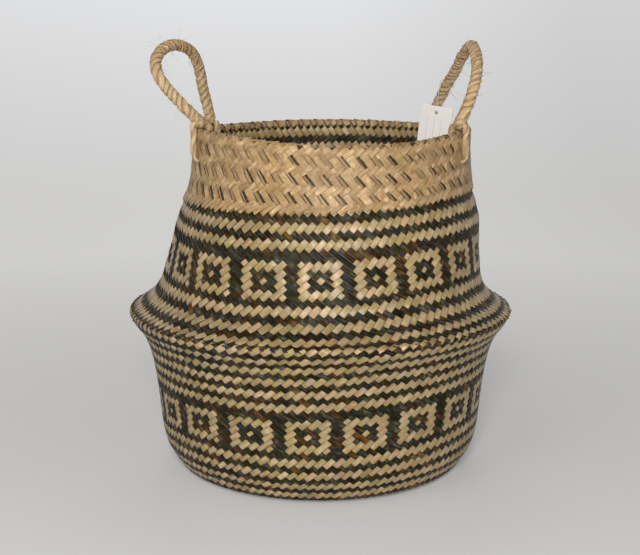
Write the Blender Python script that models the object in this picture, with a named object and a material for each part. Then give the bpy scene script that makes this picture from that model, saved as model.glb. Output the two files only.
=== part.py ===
"""Round woven belly basket.

A soft basket with a wide lower bowl, a sharp fold at the belly, a sloping shoulder
and a narrower neck. The weave is turned down over the rim as a plain cuff. Two rope
handles stand on the rim, each held by strands that go through the wall, and a small
card tag hangs from one of them on a thread. Metres, +Z up, origin on the floor under
the middle of the base.
"""

import math

import bmesh
import bpy
from mathutils import Matrix, Vector

# Woven body
BASE_RADIUS = 0.103
BELLY_RADIUS = 0.160
NECK_RADIUS = 0.1327
RIM_RADIUS = 0.115
FOLD_HEIGHT = 0.1353
NECK_HEIGHT = 0.168
BODY_HEIGHT = 0.281
WEAVE = 0.0016
FOLD_BAND_UNDER = 0.008
FOLD_BAND_OVER = 0.006
GAP = 0.0003

# The neck stands a little to the right of the bowl, and the rim rises at the handles
NECK_LEAN = 0.0093
LEAN_DEPTH = 0.031
RIM_RISE = 0.007
SADDLE_DEPTH = 0.070

# Cuff turned down over the rim
CUFF_DEPTH = 0.0498
CUFF_SLANT = 0.0047
LIP_DEPTH = 0.0062

# Rope handles
ROPE = 0.0096
HANDLE_RISE = 0.060
ROPE_POINT_STEP = 0.0045

# Strands that hold the handles, and the lashings beside them
STRAND = 0.0058
STRAND_DEPTH = 0.0285
STRAND_DROP = 0.0005
STRAND_EASE = 0.0007
LASHING = 0.0022
LASHING_OFFSET = 0.0085
LASHING_OUTER_DEPTH = 0.011
LASHING_INNER_DEPTH = 0.0065

# Card tag on its thread
TAG_WIDTH = 0.026
TAG_HEIGHT = 0.042
TAG_THICKNESS = 0.0006
TAG_CORNER = 0.002
TAG_HOLE_RADIUS = 0.0013
TAG_HOLE_DROP = 0.0058
STRING = 0.0006
STRING_DROP = 0.032
STRING_EASE = 0.001
STRING_SPREAD = 0.0004
STRING_LEAD = 0.0012
STRING_POINT_STEP = 0.0016
KNOT_RADIUS = 0.0016

# Fineness of the round forms
SEGMENTS = 56
BOWL_ROWS = 10
FOLD_ROWS = 6
SHOULDER_ROWS = 5
NECK_ROWS = 6
CUFF_ROWS = 7
ARC_STEPS = 4
TUBE_RESOLUTION = 2
ROPE_RESOLUTION = 3
OVERRUN = 0.004

# Outline of the body from the base to the fold: share of the way out, share of the way up
BOWL_SHARES = (
    (0.0, 0.0),
    (0.27, 0.03),
    (0.38, 0.09),
    (0.50, 0.18),
    (0.56, 0.30),
    (0.595, 0.45),
    (0.65, 0.63),
    (0.73, 0.78),
    (0.835, 0.88),
    (0.95, 0.945),
    (1.0, 1.0),
)
# From the fold in to the neck: share of the way in, share of the way up
SHOULDER_SHARES = (
    (0.16, 0.08),
    (0.37, 0.21),
    (0.73, 0.48),
    (0.93, 0.78),
    (1.0, 1.0),
)
# From the foot of the neck in to the rim: share of the way in, share of the way up
NECK_SHARES = (
    (0.22, 0.21),
    (0.36, 0.385),
    (0.62, 0.52),
    (0.84, 0.61),
    (0.95, 0.73),
    (1.0, 0.83),
    (1.0, 1.0),
)

# Directions round the neck, in degrees from +X
LEFT_RISE_ANGLE = 208.0
LEFT_RISE_WIDTH = 45.0
RIGHT_RISE_ANGLE = -15.0
RIGHT_RISE_WIDTH = 40.0
LEFT_FEET = (201.0, 157.0)
RIGHT_FEET = (-26.0, 39.0)

# Rope loops: share of half the chord between the feet, share of the rise out and up
LEFT_LOOP_SHARES = (
    (1.0, 0.0, 0.0),
    (1.13, 0.24, 0.25),
    (1.20, 0.44, 0.48),
    (1.12, 0.56, 0.68),
    (0.81, 0.57, 0.89),
    (0.35, 0.41, 1.03),
    (-0.27, 0.22, 0.96),
    (-0.65, 0.13, 0.73),
    (-0.83, 0.09, 0.44),
    (-0.95, 0.04, 0.20),
    (-1.0, 0.0, 0.0),
)
RIGHT_LOOP_SHARES = (
    (1.0, 0.0, 0.0),
    (1.06, 0.06, 0.16),
    (1.08, 0.13, 0.34),
    (1.02, 0.20, 0.53),
    (0.84, 0.27, 0.77),
    (0.39, 0.30, 1.02),
    (-0.11, 0.28, 0.89),
    (-0.43, 0.25, 0.69),
    (-0.69, 0.18, 0.48),
    (-0.88, 0.10, 0.24),
    (-1.0, 0.0, 0.0),
)
HANG_STATION = 8
ROUND_END_ANGLES = (85.0, 62.0, 34.0)

# The tag hangs down and in from the rope, turned and rolled a little
TAG_HANG_SHARES = (-0.34, -0.64, -0.69)
TAG_TURN = 20.0
TAG_ROLL = 7.0
STRING_WRAP_ANGLES = (78.0, 112.0, 146.0, 180.0, 214.0, 248.0, 282.0)

# Colours: red, green, blue, then roughness
STRAW = (0.66, 0.53, 0.31, 0.55)
DARK_WEAVE = (0.10, 0.12, 0.10, 0.5)
CUFF_STRAW = (0.62, 0.48, 0.28, 0.55)
FIBRE = (0.60, 0.44, 0.22, 0.7)
CARD = (0.86, 0.84, 0.82, 0.6)
THREAD = (0.80, 0.80, 0.78, 0.3)


def clear_scene():
    """Empty the file that the script runs in."""
    for thing in list(bpy.data.objects):
        bpy.data.objects.remove(thing, do_unlink=True)


def make_material(name, finish):
    """A plain surface with a colour and a roughness."""
    material = bpy.data.materials.new(name)
    material.use_nodes = True
    shader = material.node_tree.nodes["Principled BSDF"]
    red, green, blue, roughness = finish
    shader.inputs["Base Color"].default_value = (red, green, blue, 1.0)
    shader.inputs["Roughness"].default_value = roughness
    shader.inputs["Metallic"].default_value = 0.0
    return material


def add_object(name, data, finish, at=(0.0, 0.0, 0.0)):
    """Link one named piece, with its own material."""
    piece = bpy.data.objects.new(name, data)
    bpy.context.collection.objects.link(piece)
    data.materials.append(make_material(name, finish))
    piece.location = at
    return piece


def ease(share):
    """Smooth step from 0 to 1."""
    share = min(max(share, 0.0), 1.0)
    return share * share * (3.0 - 2.0 * share)


def smooth_value(pairs, place):
    """Monotone cubic curve through (place, value) pairs."""
    place = min(max(place, pairs[0][0]), pairs[-1][0])
    slopes = []
    for (place_a, value_a), (place_b, value_b) in zip(pairs, pairs[1:]):
        slopes.append((value_b - value_a) / (place_b - place_a))
    tangents = [slopes[0]]
    for before, after in zip(slopes, slopes[1:]):
        same_way = before * after > 0.0
        tangents.append(2.0 * before * after / (before + after) if same_way else 0.0)
    tangents.append(slopes[-1])
    last = len(pairs) - 2
    index = 0
    while index < last and place > pairs[index + 1][0]:
        index += 1
    place_a, value_a = pairs[index]
    place_b, value_b = pairs[index + 1]
    width = place_b - place_a
    t = (place - place_a) / width
    return (
        value_a * (2.0 * t**3 - 3.0 * t**2 + 1.0)
        + tangents[index] * width * (t**3 - 2.0 * t**2 + t)
        + value_b * (3.0 * t**2 - 2.0 * t**3)
        + tangents[index + 1] * width * (t**3 - t**2)
    )


def smooth_route(stops, step):
    """Points about one step apart on a smooth curve through the stops."""
    ends = [2.0 * stops[0] - stops[1]] + list(stops) + [2.0 * stops[-1] - stops[-2]]
    points = []
    for p0, p1, p2, p3 in zip(ends, ends[1:], ends[2:], ends[3:]):
        count = max(1, round((p2 - p1).length / step))
        for i in range(count):
            t = i / count
            bend = (2.0 * p0 - 5.0 * p1 + 4.0 * p2 - p3) * t**2
            twist = (3.0 * (p1 - p2) + p3 - p0) * t**3
            points.append(0.5 * (2.0 * p1 + (p2 - p0) * t + bend + twist))
    points.append(stops[-1].copy())
    return points


def body_outline():
    """(height, radius) pairs of the outside of the weave, from the floor to the rim."""
    neck_top_radius = RIM_RADIUS - WEAVE - GAP
    pairs = []
    for out, up in BOWL_SHARES:
        pairs.append((up * FOLD_HEIGHT, BASE_RADIUS + out * (BELLY_RADIUS - BASE_RADIUS)))
    for inward, up in SHOULDER_SHARES:
        height = FOLD_HEIGHT + up * (NECK_HEIGHT - FOLD_HEIGHT)
        pairs.append((height, BELLY_RADIUS - inward * (BELLY_RADIUS - NECK_RADIUS)))
    for inward, up in NECK_SHARES:
        height = NECK_HEIGHT + up * (BODY_HEIGHT - NECK_HEIGHT)
        pairs.append((height, NECK_RADIUS - inward * (NECK_RADIUS - neck_top_radius)))
    return pairs


def wall_point(outline, height, offset):
    """Radius and height of a point that lies the offset outside the weave."""
    radius = smooth_value(outline, height)
    if height <= 0.0:
        return radius, -offset
    nearby = WEAVE / 4.0
    rise = smooth_value(outline, height + nearby) - smooth_value(outline, height - nearby)
    normal = Vector((2.0 * nearby, -rise)).normalized()
    return radius + normal.x * offset, height + normal.y * offset


def lean_at(height):
    """Sideways shift of the neck over the bowl."""
    return NECK_LEAN * ease((height - FOLD_HEIGHT) / (BODY_HEIGHT - LEAN_DEPTH - FOLD_HEIGHT))


def rim_rise(angle):
    """Extra height of the rim in one direction, from the two rises at the handles."""
    total = 0.0
    for middle, width in (
        (LEFT_RISE_ANGLE, LEFT_RISE_WIDTH),
        (RIGHT_RISE_ANGLE, RIGHT_RISE_WIDTH),
    ):
        away = (math.degrees(angle) - middle + 180.0) % 360.0 - 180.0
        total += RIM_RISE * math.exp(-((away / width) ** 2))
    return total


def place(radius, angle, height):
    """World position of a point of the round body, with the lean and the rim's rises."""
    share = ease((height - BODY_HEIGHT + SADDLE_DEPTH) / SADDLE_DEPTH)
    return Vector((
        radius * math.cos(angle) + lean_at(height),
        radius * math.sin(angle),
        height + rim_rise(angle) * share,
    ))


def ring_body(name, section, finish):
    """Closed ring whose cross-section, a loop of (radius, height), depends on the angle."""
    mesh = bpy.data.meshes.new(name)
    shape = bmesh.new()
    loops = []
    for i in range(SEGMENTS):
        angle = 2.0 * math.pi * i / SEGMENTS
        loops.append([shape.verts.new(place(r, angle, h)) for r, h in section(angle)])
    for here, there in zip(loops, loops[1:] + loops[:1]):
        count = len(here)
        for k in range(count):
            after = (k + 1) % count
            shape.faces.new((here[k], there[k], there[after], here[after]))
    bmesh.ops.recalc_face_normals(shape, faces=shape.faces)
    shape.to_mesh(mesh)
    shape.free()
    mesh.shade_smooth()
    mesh.set_sharp_from_angle(angle=math.radians(40.0))
    return add_object(name, mesh, finish)


def wall_loop(outline, heights):
    """Cross-section of the wall through the given heights, one weave thick."""
    outer = [wall_point(outline, height, 0.0) for height in heights]
    inner = [wall_point(outline, height, -WEAVE) for height in heights]
    return outer + inner[::-1]


def wall_shell(name, outline, low, high, rows, finish, crowd=1.0):
    """Part of the woven wall between two heights."""
    heights = [low + (high - low) * (i / rows) ** crowd for i in range(rows + 1)]
    loop = wall_loop(outline, heights)
    return ring_body(name, lambda angle: loop, finish)


def base_disc():
    """Flat woven bottom that the basket rests on."""
    mesh = bpy.data.meshes.new("woven_base")
    shape = bmesh.new()
    bmesh.ops.create_circle(
        shape, cap_ends=True, segments=SEGMENTS, radius=BASE_RADIUS - GAP
    )
    face = shape.faces[:]
    grown = bmesh.ops.extrude_face_region(shape, geom=face)
    top = [v for v in grown["geom"] if isinstance(v, bmesh.types.BMVert)]
    bmesh.ops.translate(shape, verts=top, vec=(0.0, 0.0, WEAVE))
    turn = Matrix.Rotation(math.pi / SEGMENTS, 3, "Z")
    first = shape.verts[:][0].co
    slip = math.atan2(first.y, first.x) / (2.0 * math.pi / SEGMENTS)
    if abs(slip - round(slip)) > 0.25:
        bmesh.ops.rotate(shape, verts=shape.verts[:], cent=(0.0, 0.0, 0.0), matrix=turn)
    bmesh.ops.recalc_face_normals(shape, faces=shape.faces)
    shape.to_mesh(mesh)
    shape.free()
    return add_object("woven_base", mesh, STRAW)


def neck_crown_height():
    """Height where the neck wall ends inside the fold of the cuff."""
    return BODY_HEIGHT - fold_radius()


def fold_radius():
    """Outer radius of the cuff's fold over the rim."""
    return WEAVE / 2.0 + GAP + WEAVE


def cuff_heights(angle):
    """Heights from the cuff's slanted lower edge up to where its fold begins."""
    crown = neck_crown_height()
    bottom = BODY_HEIGHT - CUFF_DEPTH + CUFF_SLANT * math.cos(angle)
    return [bottom + (crown - bottom) * i / CUFF_ROWS for i in range(CUFF_ROWS + 1)]


def neck_section(outline, angle):
    """Cross-section of the neck wall, with the same rows as the cuff outside it."""
    covered = cuff_heights(angle)
    low = NECK_HEIGHT + GAP / 2.0
    bare = [low + (covered[0] - low) * i / NECK_ROWS for i in range(NECK_ROWS)]
    return wall_loop(outline, bare + covered)


def cuff_section(outline, angle):
    """Upside-down U round the top of the neck wall, longer outside than inside."""
    crown = neck_crown_height()
    heights = cuff_heights(angle)
    middle = smooth_value(outline, crown) - WEAVE / 2.0
    near = WEAVE / 2.0 + GAP
    far = fold_radius()
    loop = [wall_point(outline, h, GAP + WEAVE) for h in heights]
    for i in range(1, ARC_STEPS):
        turn = math.pi * i / ARC_STEPS
        loop.append((middle + far * math.cos(turn), crown + far * math.sin(turn)))
    loop.append((middle - far, crown))
    loop.append((middle - far, BODY_HEIGHT - LIP_DEPTH))
    loop.append((middle - near, BODY_HEIGHT - LIP_DEPTH))
    loop.append((middle - near, crown))
    for i in range(1, ARC_STEPS):
        turn = math.pi * (1.0 - i / ARC_STEPS)
        loop.append((middle + near * math.cos(turn), crown + near * math.sin(turn)))
    loop += [wall_point(outline, h, GAP) for h in reversed(heights)]
    return loop


def tube(name, points, thickness, finish, resolution, radii=None, at=(0.0, 0.0, 0.0)):
    """Closed round tube along the points, which may narrow by the given factors."""
    curve = bpy.data.curves.new(name, "CURVE")
    curve.dimensions = "3D"
    curve.bevel_depth = thickness / 2.0
    curve.bevel_resolution = resolution
    curve.use_fill_caps = True
    spline = curve.splines.new("POLY")
    spline.points.add(len(points) - 1)
    for i, point in enumerate(points):
        spline.points[i].co = (*(point - Vector(at)), 1.0)
        spline.points[i].radius = radii[i] if radii else 1.0
    return add_object(name, curve, finish, at)


def foot_point(angle):
    """Middle of a handle's foot, standing on the fold of the cuff."""
    radius = RIM_RADIUS - fold_radius()
    return place(radius, math.radians(angle), BODY_HEIGHT + GAP + ROPE / 2.0)


def loop_stops(feet, shares):
    """Stops of a handle's rope, from its front foot over the top to its rear foot."""
    front = foot_point(feet[0])
    rear = foot_point(feet[1])
    middle = (front + rear) / 2.0
    along = (front - rear) / 2.0
    out = along.cross(Vector((0.0, 0.0, 1.0))).normalized()
    if out.dot(middle - Vector((NECK_LEAN, 0.0, middle.z))) < 0.0:
        out = -out
    up = out.cross(along).normalized()
    if up.z < 0.0:
        up = -up
    stops = []
    for chord_share, out_share, up_share in shares:
        reach = out * out_share * HANDLE_RISE + up * up_share * HANDLE_RISE
        stops.append(middle + along * chord_share + reach)
    return stops


def rope_handle(name, feet, shares):
    """Rope loop with ball-shaped feet, whose origin lies on the line between the feet."""
    stops = loop_stops(feet, shares)
    run = smooth_route(stops, ROPE_POINT_STEP)
    points = list(run)
    radii = [1.0] * len(run)
    for angle in reversed(ROUND_END_ANGLES):
        turn = math.radians(angle)
        back = math.sin(turn) * ROPE / 2.0
        start_way = (run[0] - run[1]).normalized()
        end_way = (run[-1] - run[-2]).normalized()
        points.insert(0, run[0] + start_way * back)
        points.append(run[-1] + end_way * back)
        radii.insert(0, math.cos(turn))
        radii.append(math.cos(turn))
    middle = (stops[0] + stops[-1]) / 2.0
    return tube(name, points, ROPE, FIBRE, ROPE_RESOLUTION, radii, middle)


def strand_stops(outline):
    """(radius, height) stops of a strand: down outside, through the wall, up inside."""
    top = BODY_HEIGHT - STRAND_DROP
    bend_height = BODY_HEIGHT - STRAND_DEPTH
    reach = GAP + STRAND_EASE + STRAND / 2.0
    bend = (2.0 * WEAVE + GAP) / 2.0 + reach
    stops = [(RIM_RADIUS + reach, top), (RIM_RADIUS + reach, (top + bend_height) / 2.0)]
    for i in range(ARC_STEPS + 1):
        turn = math.pi * i / ARC_STEPS
        height = bend_height - bend * math.sin(turn)
        middle = wall_point(outline, height, GAP / 2.0)[0]
        stops.append((middle + bend * math.cos(turn), height))
    lip_radius = RIM_RADIUS - 2.0 * fold_radius() - reach
    stops.append((lip_radius, (top + bend_height) / 2.0))
    stops.append((lip_radius, top))
    return stops


def strand_hole(outline):
    """Radius from the axis, height and half-width of the hole that a strand goes through."""
    half_wall = (2.0 * WEAVE + GAP) / 2.0
    bend = half_wall + GAP + STRAND_EASE + STRAND / 2.0
    height = BODY_HEIGHT - STRAND_DEPTH - bend
    inner_bend = bend - STRAND / 2.0
    rise = inner_bend - math.sqrt(inner_bend**2 - half_wall**2) + STRAND_EASE
    middle = wall_point(outline, height, GAP / 2.0)[0]
    return middle, height + rise / 2.0, STRAND / 2.0 + GAP + rise / 2.0


def anchor_strand(name, outline, angle):
    """Strand of the rope's end that hooks through the wall under one foot."""
    turn = math.radians(angle)
    stops = [place(r, turn, h) for r, h in strand_stops(outline)]
    route = smooth_route(stops, STRAND / 2.0)
    return tube(name, route, STRAND, FIBRE, TUBE_RESOLUTION)


def strand_hole_cutter(outline):
    """Round cutters, one for each foot, that open the cuff and the neck wall."""
    middle, height, radius = strand_hole(outline)
    mesh = bpy.data.meshes.new("strand_holes")
    shape = bmesh.new()
    for angle in LEFT_FEET + RIGHT_FEET:
        turn = math.radians(angle)
        centre = place(middle, turn, height)
        lie = Matrix.Rotation(math.radians(90.0), 4, "Y")
        face = Matrix.Rotation(turn, 4, "Z")
        bmesh.ops.create_cone(
            shape,
            cap_ends=True,
            segments=16,
            radius1=radius,
            radius2=radius,
            depth=2.0 * (WEAVE + OVERRUN),
            matrix=Matrix.Translation(centre) @ face @ lie,
        )
    bmesh.ops.recalc_face_normals(shape, faces=shape.faces)
    shape.to_mesh(mesh)
    shape.free()
    cutter = bpy.data.objects.new("strand_holes", mesh)
    bpy.context.collection.objects.link(cutter)
    cutter.hide_render = True
    cutter.display_type = "WIRE"
    return cutter


def cut(piece, cutter):
    """Take the cutter's shape out of the piece."""
    modifier = piece.modifiers.new("holes", "BOOLEAN")
    modifier.operation = "DIFFERENCE"
    modifier.solver = "EXACT"
    modifier.object = cutter


def lashing(name, angle, other_angle):
    """Thin strand over the fold beside a foot, on the side of the other foot."""
    side = 1.0 if other_angle > angle else -1.0
    turn = math.radians(angle) + side * LASHING_OFFSET / (RIM_RADIUS - fold_radius())
    reach = GAP + STRAND_EASE + LASHING / 2.0
    middle = RIM_RADIUS - fold_radius()
    crown = neck_crown_height()
    sweep = fold_radius() + reach
    stops = [(middle + sweep, BODY_HEIGHT - LASHING_OUTER_DEPTH)]
    for i in range(ARC_STEPS + 1):
        bend = math.pi * i / ARC_STEPS
        stops.append((middle + sweep * math.cos(bend), crown + sweep * math.sin(bend)))
    stops.append((middle - sweep, BODY_HEIGHT - LASHING_INNER_DEPTH))
    route = smooth_route([place(r, turn, h) for r, h in stops], LASHING)
    return tube(name, route, LASHING, FIBRE, TUBE_RESOLUTION)


def tag_frame():
    """Hang point on the rope, the rope's direction there, the hole and the card's axes."""
    stops = loop_stops(RIGHT_FEET, RIGHT_LOOP_SHARES)
    hang = stops[HANG_STATION]
    rope_way = (stops[HANG_STATION - 1] - stops[HANG_STATION + 1]).normalized()
    hole = hang + STRING_DROP * Vector(TAG_HANG_SHARES)
    spin = Matrix.Rotation(math.radians(-TAG_TURN), 3, "Z")
    spin = spin @ Matrix.Rotation(math.radians(TAG_ROLL), 3, "Y")
    across = spin @ Vector((1.0, 0.0, 0.0))
    front = spin @ Vector((0.0, -1.0, 0.0))
    up = spin @ Vector((0.0, 0.0, 1.0))
    return hang, rope_way, hole, across, front, up


def hang_tag():
    """Card with rounded corners and a punched hole, whose origin is in the hole."""
    _, _, hole, across, front, up = tag_frame()
    half = TAG_WIDTH / 2.0
    top = TAG_HOLE_DROP
    bottom = TAG_HOLE_DROP - TAG_HEIGHT
    mesh = bpy.data.meshes.new("hang_tag")
    shape = bmesh.new()
    corners = []
    for x, z in ((-half, bottom), (half, bottom), (half, top), (-half, top)):
        corners.append(shape.verts.new(across * x + up * z + front * TAG_THICKNESS / 2.0))
    card = shape.faces.new(corners)
    bmesh.ops.bevel(
        shape, geom=corners, offset=TAG_CORNER, segments=3, profile=0.5, affect="VERTICES"
    )
    card = shape.faces[:]
    grown = bmesh.ops.extrude_face_region(shape, geom=card)
    moved = [v for v in grown["geom"] if isinstance(v, bmesh.types.BMVert)]
    bmesh.ops.translate(shape, verts=moved, vec=-front * TAG_THICKNESS)
    bmesh.ops.recalc_face_normals(shape, faces=shape.faces)
    shape.to_mesh(mesh)
    shape.free()
    tag = add_object("hang_tag", mesh, CARD, hole)
    punch_mesh = bpy.data.meshes.new("tag_punch")
    punch_shape = bmesh.new()
    bmesh.ops.create_cone(
        punch_shape,
        cap_ends=True,
        segments=20,
        radius1=TAG_HOLE_RADIUS,
        radius2=TAG_HOLE_RADIUS,
        depth=2.0 * OVERRUN,
        matrix=Vector((0.0, 0.0, 1.0)).rotation_difference(front).to_matrix().to_4x4(),
    )
    punch_shape.to_mesh(punch_mesh)
    punch_shape.free()
    punch = bpy.data.objects.new("tag_punch", punch_mesh)
    bpy.context.collection.objects.link(punch)
    punch.location = hole
    punch.hide_render = True
    punch.display_type = "WIRE"
    cut(tag, punch)
    return tag


def tag_string():
    """Doubled thread from the knot through the hole, round the rope and back."""
    hang, rope_way, hole, across, front, _ = tag_frame()
    down = hole - hang
    down = (down - rope_way * down.dot(rope_way)).normalized()
    side = rope_way.cross(down)
    if side.dot(across) < 0.0:
        side = -side
    wrap = ROPE / 2.0 + STRING_EASE + STRING / 2.0
    spread = across * STRING_SPREAD
    face = front * TAG_THICKNESS / 2.0
    lead = front * STRING_LEAD
    stops = [hole + spread + face, hole + spread - face, hole + spread - lead]
    for angle in STRING_WRAP_ANGLES:
        turn = math.radians(angle)
        stops.append(hang + wrap * (down * math.cos(turn) + side * math.sin(turn)))
    stops += [hole - spread - lead, hole - spread - face, hole - spread + face]
    route = smooth_route(stops, STRING_POINT_STEP)
    return tube("tag_string", route, STRING, THREAD, TUBE_RESOLUTION)


def tag_knot():
    """Round knot that keeps the thread from slipping back through the hole."""
    _, _, hole, _, front, _ = tag_frame()
    mesh = bpy.data.meshes.new("tag_string_knot")
    shape = bmesh.new()
    bmesh.ops.create_icosphere(shape, subdivisions=2, radius=KNOT_RADIUS)
    shape.to_mesh(mesh)
    shape.free()
    mesh.shade_smooth()
    centre = hole + front * (TAG_THICKNESS / 2.0 + GAP + KNOT_RADIUS)
    return add_object("tag_string_knot", mesh, THREAD, centre)


def build():
    """Model the whole basket."""
    clear_scene()
    outline = body_outline()
    fold_low = FOLD_HEIGHT - FOLD_BAND_UNDER
    fold_high = FOLD_HEIGHT + FOLD_BAND_OVER
    half_gap = GAP / 2.0
    base_disc()
    wall_shell("bowl_wall", outline, 0.0, fold_low - half_gap, BOWL_ROWS, STRAW, 1.6)
    wall_shell(
        "belly_fold", outline, fold_low + half_gap, fold_high - half_gap, FOLD_ROWS, DARK_WEAVE
    )
    wall_shell(
        "shoulder", outline, fold_high + half_gap, NECK_HEIGHT - half_gap, SHOULDER_ROWS, STRAW
    )
    neck = ring_body("neck_wall", lambda angle: neck_section(outline, angle), DARK_WEAVE)
    cuff = ring_body("rim_cuff", lambda angle: cuff_section(outline, angle), CUFF_STRAW)
    cutter = strand_hole_cutter(outline)
    cut(neck, cutter)
    cut(cuff, cutter)
    for side, feet in (("left", LEFT_FEET), ("right", RIGHT_FEET)):
        for place_name, angle, other in (("front", *feet), ("rear", *reversed(feet))):
            anchor_strand(f"{side}_{place_name}_strand", outline, angle)
            lashing(f"{side}_{place_name}_lashing", angle, other)
    rope_handle("left_handle_rope", LEFT_FEET, LEFT_LOOP_SHARES)
    rope_handle("right_handle_rope", RIGHT_FEET, RIGHT_LOOP_SHARES)
    hang_tag()
    tag_string()
    tag_knot()


build()
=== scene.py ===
"""Round belly basket, woven from natural and dark strips, with rope handles and a tag."""

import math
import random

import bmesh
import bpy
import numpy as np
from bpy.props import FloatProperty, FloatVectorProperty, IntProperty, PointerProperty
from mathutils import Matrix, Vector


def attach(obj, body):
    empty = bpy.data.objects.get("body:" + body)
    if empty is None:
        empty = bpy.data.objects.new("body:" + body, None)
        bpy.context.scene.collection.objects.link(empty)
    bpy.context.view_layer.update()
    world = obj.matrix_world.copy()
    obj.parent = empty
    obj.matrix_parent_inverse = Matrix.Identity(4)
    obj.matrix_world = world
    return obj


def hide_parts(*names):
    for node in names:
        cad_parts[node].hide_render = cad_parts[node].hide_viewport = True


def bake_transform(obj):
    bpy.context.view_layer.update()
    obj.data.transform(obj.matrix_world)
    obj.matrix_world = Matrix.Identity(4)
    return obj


bl_info = {
    "name": "Woven Belly Basket",
    "version": (1, 0, 0),
    "blender": (4, 5, 0),
    "location": "View3D > Sidebar > Basket",
    "description": "Weaves a belly basket strip by strip over its packed model",
    "category": "Add Mesh",
}

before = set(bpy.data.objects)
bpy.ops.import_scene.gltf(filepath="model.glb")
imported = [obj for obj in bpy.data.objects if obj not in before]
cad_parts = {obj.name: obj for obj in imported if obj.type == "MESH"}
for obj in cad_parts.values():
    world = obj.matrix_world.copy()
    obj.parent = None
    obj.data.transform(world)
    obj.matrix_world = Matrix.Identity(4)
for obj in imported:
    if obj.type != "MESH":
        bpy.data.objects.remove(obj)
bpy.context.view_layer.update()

# Outside of the weave: height, radius
OUTLINE = (
    (0.0, 0.103), (0.00406, 0.11839), (0.01218, 0.12466), (0.02435, 0.1315),
    (0.04059, 0.13492), (0.06089, 0.13692), (0.08524, 0.14005), (0.10553, 0.14461),
    (0.11906, 0.1506), (0.12786, 0.15715), (0.1353, 0.16), (0.13792, 0.15563),
    (0.14217, 0.1499), (0.151, 0.14007), (0.16081, 0.13461), (0.168, 0.1327),
    (0.19173, 0.12839), (0.21151, 0.12564), (0.22676, 0.12055), (0.23693, 0.11624),
    (0.25049, 0.11408), (0.26179, 0.1131), (0.281, 0.1131),
)
BODY_HEIGHT = 0.281
FOLD_HEIGHT = 0.1353
CROWN_HEIGHT = 0.2783
WEAVE = 0.0016
GAP = 0.0003
CUFF_BOTTOM = 0.2312
CUFF_SLANT = 0.0047
LIP_BOTTOM = 0.2760
BASE_RADIUS = 0.1026
BASE_SPACING = 0.00445
BASE_STRIPS = int(BASE_RADIUS / BASE_SPACING)
# How far a strip lies off the middle of the weave where it passes over or under
BODY_LIFT = 0.00040
CUFF_LIFT = 0.00038
BASE_LIFT = 0.00037
# Heights that the middles of the body's strips keep between
BODY_STRIP_BOTTOM = 0.0012
BODY_STRIP_TOP = CROWN_HEIGHT - 0.0022
NECK_LEAN = 0.0093
LEAN_TOP = 0.25
SADDLE_DEPTH = 0.070
# Rises of the rim at the handles and at the back: direction and spread in degrees, height
RIM_RISES = ((208.0, 45.0, 0.007), (-15.0, 40.0, 0.007), (90.0, 50.0, 0.0016))

# Rows of crossings, counted down from the middle of the upper squares: row, way up the wall
ROWS = (
    (-30.0, 0.3131), (-14.5, 0.2617), (0.0, 0.2160), (7.5, 0.1928), (15.5, 0.1656),
    (21.5, 0.1509), (27.5, 0.1353), (39.5, 0.1027), (48.0, 0.0779), (57.5, 0.0500),
    (67.5, 0.0237), (76.0, 0.0),
)
# How the rows wander up the wall round the basket: row, mean, then the shares of the cosine
# and the sine of once, twice and three times the angle
ROW_WAVES = (
    (-30.0, 0.0042, 0.0, 0.0, 0.0, 0.0, 0.0, 0.0),
    (-14.0, 0.0032, 0.0035, 0.0021, 0.0013, -0.0004, -0.0006, 0.0),
    (-6.0, 0.0022, 0.0027, 0.0017, 0.0013, -0.0004, -0.0011, -0.0002),
    (2.0, 0.0014, 0.0023, 0.0011, 0.0010, -0.0003, -0.0013, -0.0003),
    (10.0, 0.0010, 0.0025, 0.0002, 0.0006, -0.0003, -0.0011, -0.0005),
    (18.0, 0.0004, 0.0032, -0.0004, 0.0, -0.0004, -0.0007, -0.0006),
    (26.0, -0.0004, 0.0037, -0.0006, -0.0003, -0.0006, -0.0002, -0.0008),
    (34.0, -0.0005, 0.0042, -0.0007, -0.0004, -0.0007, 0.0002, -0.0014),
    (42.0, 0.0002, 0.0043, -0.0008, -0.0002, -0.0008, 0.0004, -0.0019),
    (50.0, 0.0016, 0.0039, -0.0008, 0.0001, -0.0007, 0.0003, -0.0020),
    (58.0, 0.0028, 0.0033, 0.0, 0.0008, -0.0005, 0.0003, -0.0015),
    (64.0, 0.0023, 0.0028, 0.0008, 0.0010, -0.0004, 0.0003, -0.0006),
    (76.0, 0.0, 0.0, 0.0, 0.0, 0.0, 0.0, 0.0),
)
# Where the strips stand closer or wider round the neck: direction and shift in degrees
SPREADS = (
    (0.0, 0.0), (150.0, 0.0), (195.0, -2.8), (227.0, -4.0), (240.0, -1.8), (254.0, -0.2),
    (306.0, -0.3), (327.0, 1.2), (345.0, 0.6), (360.0, 0.0),
)
# How far the rows slip to the right, going down: row, half spacings of the strips
ROW_SLIPS = (
    (-30.0, -5.0), (16.0, 2.667), (20.0, 3.3), (24.0, 3.8), (28.0, 4.15), (32.0, 4.3),
    (76.0, 4.3),
)
CUFF_SLIP = -0.28
TOP_ROW = -28
LAST_ROW = 76
UPPER_SQUARES = (0, 0)
LOWER_SQUARES = (48, -6)
SQUARE_PERIOD = 12
PLAIN_DARK_ROWS = (-5, 43)
FIRST_SQUARE_ANGLE = 268.8
CUFF_ROWS = 20
CUFF_FIRST_SQUARES = 3
FLAT_SHARE = 0.38

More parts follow.
